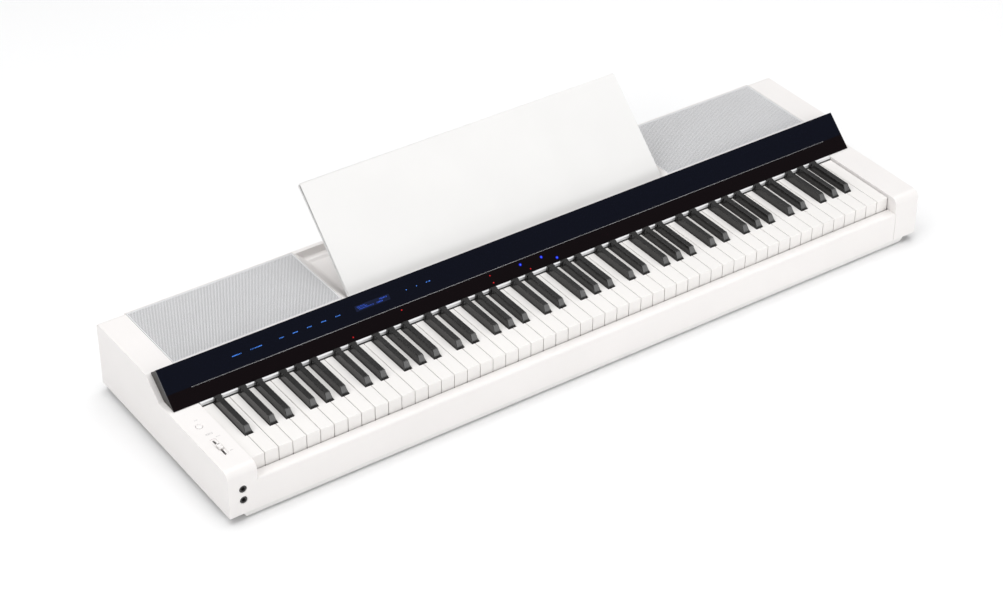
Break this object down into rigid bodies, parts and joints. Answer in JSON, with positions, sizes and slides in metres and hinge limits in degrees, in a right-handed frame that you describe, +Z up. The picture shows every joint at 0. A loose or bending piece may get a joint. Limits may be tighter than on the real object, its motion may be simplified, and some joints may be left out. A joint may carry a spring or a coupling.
{
  "type": "digital piano",
  "caption": "Slab digital piano with full-width keyboard, sloping black touch panel, speaker grilles on the rear deck and a lift-off music rest.",
  "frame": {"origin": "on the surface the piano stands on, below the middle of its case", "axes": "+X to the player's right along the keyboard, +Y away from the player, +Z up"},
  "size_m": [1.326, 0.4, 0.255],
  "materials": {
    "body_white": "satin",
    "key_white": "polished",
    "key_black": "satin",
    "panel_gloss": "high gloss",
    "dark_plastic": "fine texture",
    "grille_cloth": "fine woven mesh",
    "trim_silver": "brushed",
    "strip_grey": "satin",
    "rubber": "matt",
    "board_wood": "painted",
    "felt_red": "felt",
    "circuit_green": "solder resist",
    "steel": "satin",
    "speaker_cone": "pulp cone",
    "display": "clear window"
  },
  "bodies": {
    "case": {"amplifier_board": "circuit_green", "bottom_board": "board_wood", "display_module": "display", "front_left_foot": "rubber", "front_rail": "body_white", "front_right_foot": "rubber", "hammer_bank": "steel", "headphone_jack_block": "dark_plastic", "key_chassis": "dark_plastic", "key_contact_board": "circuit_green", "key_stop_felt": "felt_red", "key_strip": "strip_grey", "left_end_block": "body_white", "left_grille": "grille_cloth", "left_tweeter": "speaker_cone", "left_woofer": "speaker_cone", "main_board": "circuit_green", "panel_glass": "panel_gloss", "panel_housing": "dark_plastic", "panel_trim_line": "trim_silver", "rear_left_foot": "rubber", "rear_panel": "body_white", "rear_right_foot": "rubber", "rear_socket_block": "dark_plastic", "right_end_block": "body_white", "right_grille": "grille_cloth", "right_tweeter": "speaker_cone", "right_woofer": "speaker_cone", "top_cover": "body_white", "touch_sensor_board": "circuit_green"},
    "black_key_low_end": {"black_key_low_end": "key_black"},
    "black_keys_1": {"black_keys_1": "key_black"},
    "black_keys_2": {"black_keys_2": "key_black"},
    "black_keys_3": {"black_keys_3": "key_black"},
    "black_keys_4": {"black_keys_4": "key_black"},
    "black_keys_5": {"black_keys_5": "key_black"},
    "black_keys_6": {"black_keys_6": "key_black"},
    "black_keys_7": {"black_keys_7": "key_black"},
    "white_key_high_end": {"white_key_high_end": "key_white"},
    "white_keys_c_e_g_b_1": {"white_keys_c_e_g_b_1": "key_white"},
    "white_keys_c_e_g_b_2": {"white_keys_c_e_g_b_2": "key_white"},
    "white_keys_c_e_g_b_3": {"white_keys_c_e_g_b_3": "key_white"},
    "white_keys_c_e_g_b_4": {"white_keys_c_e_g_b_4": "key_white"},
    "white_keys_c_e_g_b_5": {"white_keys_c_e_g_b_5": "key_white"},
    "white_keys_c_e_g_b_6": {"white_keys_c_e_g_b_6": "key_white"},
    "white_keys_c_e_g_b_7": {"white_keys_c_e_g_b_7": "key_white"},
    "white_keys_d_f_a_1": {"white_keys_d_f_a_1": "key_white"},
    "white_keys_d_f_a_2": {"white_keys_d_f_a_2": "key_white"},
    "white_keys_d_f_a_3": {"white_keys_d_f_a_3": "key_white"},
    "white_keys_d_f_a_4": {"white_keys_d_f_a_4": "key_white"},
    "white_keys_d_f_a_5": {"white_keys_d_f_a_5": "key_white"},
    "white_keys_d_f_a_6": {"white_keys_d_f_a_6": "key_white"},
    "white_keys_d_f_a_7": {"white_keys_d_f_a_7": "key_white"},
    "white_keys_low_end": {"white_keys_low_end": "key_white"},
    "music_rest": {"music_rest": "body_white"},
    "left_rest_stay": {"left_rest_stay": "steel"},
    "right_rest_stay": {"right_rest_stay": "steel"},
    "power_button": {"power_button": "body_white"},
    "volume_slider": {"volume_slider": "body_white"}
  },
  "joints": [
    {"name": "white_keys_low_end_press", "type": "hinge", "parent": "case", "child": "white_keys_low_end", "pos_m": [-0.58875, 0.06, 0.0725], "axis": [1, 0, 0], "range_deg": [0, 2.4], "stiffness_Nm_per_rad": 1, "springref_deg": -14.32},
    {"name": "black_key_low_end_press", "type": "hinge", "parent": "case", "child": "black_key_low_end", "pos_m": [-0.58875, 0.06, 0.0725], "axis": [1, 0, 0], "range_deg": [0, 2.4], "stiffness_Nm_per_rad": 0.5, "springref_deg": -14.32},
    {"name": "white_keys_c_e_g_b_1_press", "type": "hinge", "parent": "case", "child": "white_keys_c_e_g_b_1", "pos_m": [-0.48278, 0.06, 0.0725], "axis": [1, 0, 0], "range_deg": [0, 2.4], "stiffness_Nm_per_rad": 2, "springref_deg": -14.32},
    {"name": "white_keys_d_f_a_1_press", "type": "hinge", "parent": "case", "child": "white_keys_d_f_a_1", "pos_m": [-0.48278, 0.06, 0.0725], "axis": [1, 0, 0], "range_deg": [0, 2.4], "stiffness_Nm_per_rad": 1.5, "springref_deg": -14.32},
    {"name": "black_keys_1_press", "type": "hinge", "parent": "case", "child": "black_keys_1", "pos_m": [-0.48278, 0.06, 0.0725], "axis": [1, 0, 0], "range_deg": [0, 2.4], "stiffness_Nm_per_rad": 2.5, "springref_deg": -14.32},
    {"name": "white_keys_c_e_g_b_2_press", "type": "hinge", "parent": "case", "child": "white_keys_c_e_g_b_2", "pos_m": [-0.31793, 0.06, 0.0725], "axis": [1, 0, 0], "range_deg": [0, 2.4], "stiffness_Nm_per_rad": 2, "springref_deg": -14.32},
    {"name": "white_keys_d_f_a_2_press", "type": "hinge", "parent": "case", "child": "white_keys_d_f_a_2", "pos_m": [-0.31793, 0.06, 0.0725], "axis": [1, 0, 0], "range_deg": [0, 2.4], "stiffness_Nm_per_rad": 1.5, "springref_deg": -14.32},
    {"name": "black_keys_2_press", "type": "hinge", "parent": "case", "child": "black_keys_2", "pos_m": [-0.31793, 0.06, 0.0725], "axis": [1, 0, 0], "range_deg": [0, 2.4], "stiffness_Nm_per_rad": 2.5, "springref_deg": -14.32},
    {"name": "white_keys_c_e_g_b_3_press", "type": "hinge", "parent": "case", "child": "white_keys_c_e_g_b_3", "pos_m": [-0.15307, 0.06, 0.0725], "axis": [1, 0, 0], "range_deg": [0, 2.4], "stiffness_Nm_per_rad": 2, "springref_deg": -14.32},
    {"name": "white_keys_d_f_a_3_press", "type": "hinge", "parent": "case", "child": "white_keys_d_f_a_3", "pos_m": [-0.15307, 0.06, 0.0725], "axis": [1, 0, 0], "range_deg": [0, 2.4], "stiffness_Nm_per_rad": 1.5, "springref_deg": -14.32},
    {"name": "black_keys_3_press", "type": "hinge", "parent": "case", "child": "black_keys_3", "pos_m": [-0.15307, 0.06, 0.0725], "axis": [1, 0, 0], "range_deg": [0, 2.4], "stiffness_Nm_per_rad": 2.5, "springref_deg": -14.32},
    {"name": "white_keys_c_e_g_b_4_press", "type": "hinge", "parent": "case", "child": "white_keys_c_e_g_b_4", "pos_m": [0.01178, 0.06, 0.0725], "axis": [1, 0, 0], "range_deg": [0, 2.4], "stiffness_Nm_per_rad": 2, "springref_deg": -14.32},
    {"name": "white_keys_d_f_a_4_press", "type": "hinge", "parent": "case", "child": "white_keys_d_f_a_4", "pos_m": [0.01178, 0.06, 0.0725], "axis": [1, 0, 0], "range_deg": [0, 2.4], "stiffness_Nm_per_rad": 1.5, "springref_deg": -14.32},
    {"name": "black_keys_4_press", "type": "hinge", "parent": "case", "child": "black_keys_4", "pos_m": [0.01178, 0.06, 0.0725], "axis": [1, 0, 0], "range_deg": [0, 2.4], "stiffness_Nm_per_rad": 2.5, "springref_deg": -14.32},
    {"name": "white_keys_c_e_g_b_5_press", "type": "hinge", "parent": "case", "child": "white_keys_c_e_g_b_5", "pos_m": [0.17663, 0.06, 0.0725], "axis": [1, 0, 0], "range_deg": [0, 2.4], "stiffness_Nm_per_rad": 2, "springref_deg": -14.32},
    {"name": "white_keys_d_f_a_5_press", "type": "hinge", "parent": "case", "child": "white_keys_d_f_a_5", "pos_m": [0.17663, 0.06, 0.0725], "axis": [1, 0, 0], "range_deg": [0, 2.4], "stiffness_Nm_per_rad": 1.5, "springref_deg": -14.32},
    {"name": "black_keys_5_press", "type": "hinge", "parent": "case", "child": "black_keys_5", "pos_m": [0.17663, 0.06, 0.0725], "axis": [1, 0, 0], "range_deg": [0, 2.4], "stiffness_Nm_per_rad": 2.5, "springref_deg": -14.32},
    {"name": "white_keys_c_e_g_b_6_press", "type": "hinge", "parent": "case", "child": "white_keys_c_e_g_b_6", "pos_m": [0.34147, 0.06, 0.0725], "axis": [1, 0, 0], "range_deg": [0, 2.4], "stiffness_Nm_per_rad": 2, "springref_deg": -14.32},
    {"name": "white_keys_d_f_a_6_press", "type": "hinge", "parent": "case", "child": "white_keys_d_f_a_6", "pos_m": [0.34147, 0.06, 0.0725], "axis": [1, 0, 0], "range_deg": [0, 2.4], "stiffness_Nm_per_rad": 1.5, "springref_deg": -14.32},
    {"name": "black_keys_6_press", "type": "hinge", "parent": "case", "child": "black_keys_6", "pos_m": [0.34147, 0.06, 0.0725], "axis": [1, 0, 0], "range_deg": [0, 2.4], "stiffness_Nm_per_rad": 2.5, "springref_deg": -14.32},
    {"name": "white_keys_c_e_g_b_7_press", "type": "hinge", "parent": "case", "child": "white_keys_c_e_g_b_7", "pos_m": [0.50633, 0.06, 0.0725], "axis": [1, 0, 0], "range_deg": [0, 2.4], "stiffness_Nm_per_rad": 2, "springref_deg": -14.32},
    {"name": "white_keys_d_f_a_7_press", "type": "hinge", "parent": "case", "child": "white_keys_d_f_a_7", "pos_m": [0.50633, 0.06, 0.0725], "axis": [1, 0, 0], "range_deg": [0, 2.4], "stiffness_Nm_per_rad": 1.5, "springref_deg": -14.32},
    {"name": "black_keys_7_press", "type": "hinge", "parent": "case", "child": "black_keys_7", "pos_m": [0.50633, 0.06, 0.0725], "axis": [1, 0, 0], "range_deg": [0, 2.4], "stiffness_Nm_per_rad": 2.5, "springref_deg": -14.32},
    {"name": "white_key_high_end_press", "type": "hinge", "parent": "case", "child": "white_key_high_end", "pos_m": [0.60052, 0.06, 0.0725], "axis": [1, 0, 0], "range_deg": [0, 2.4], "stiffness_Nm_per_rad": 0.5, "springref_deg": -14.32},
    {"name": "music_rest_lift", "type": "slide", "parent": "case", "child": "music_rest", "axis": [0, 0, 1], "range_m": [0, 0.15]},
    {"name": "left_rest_stay_fold", "type": "hinge", "parent": "music_rest", "child": "left_rest_stay", "pos_m": [-0.15, 0.13406, 0.19389], "axis": [1, 0, 0], "range_deg": [-38, 0]},
    {"name": "right_rest_stay_fold", "type": "hinge", "parent": "music_rest", "child": "right_rest_stay", "pos_m": [0.15, 0.13406, 0.19389], "axis": [1, 0, 0], "range_deg": [-38, 0]},
    {"name": "power_button_press", "type": "slide", "parent": "case", "child": "power_button", "axis": [0, 0, -1], "range_m": [0, 0.0015], "stiffness_N_per_m": 300, "springref_m": -0.001},
    {"name": "volume_slide", "type": "slide", "parent": "case", "child": "volume_slider", "axis": [0, 1, 0], "range_m": [-0.016, 0.016]}
  ]
}
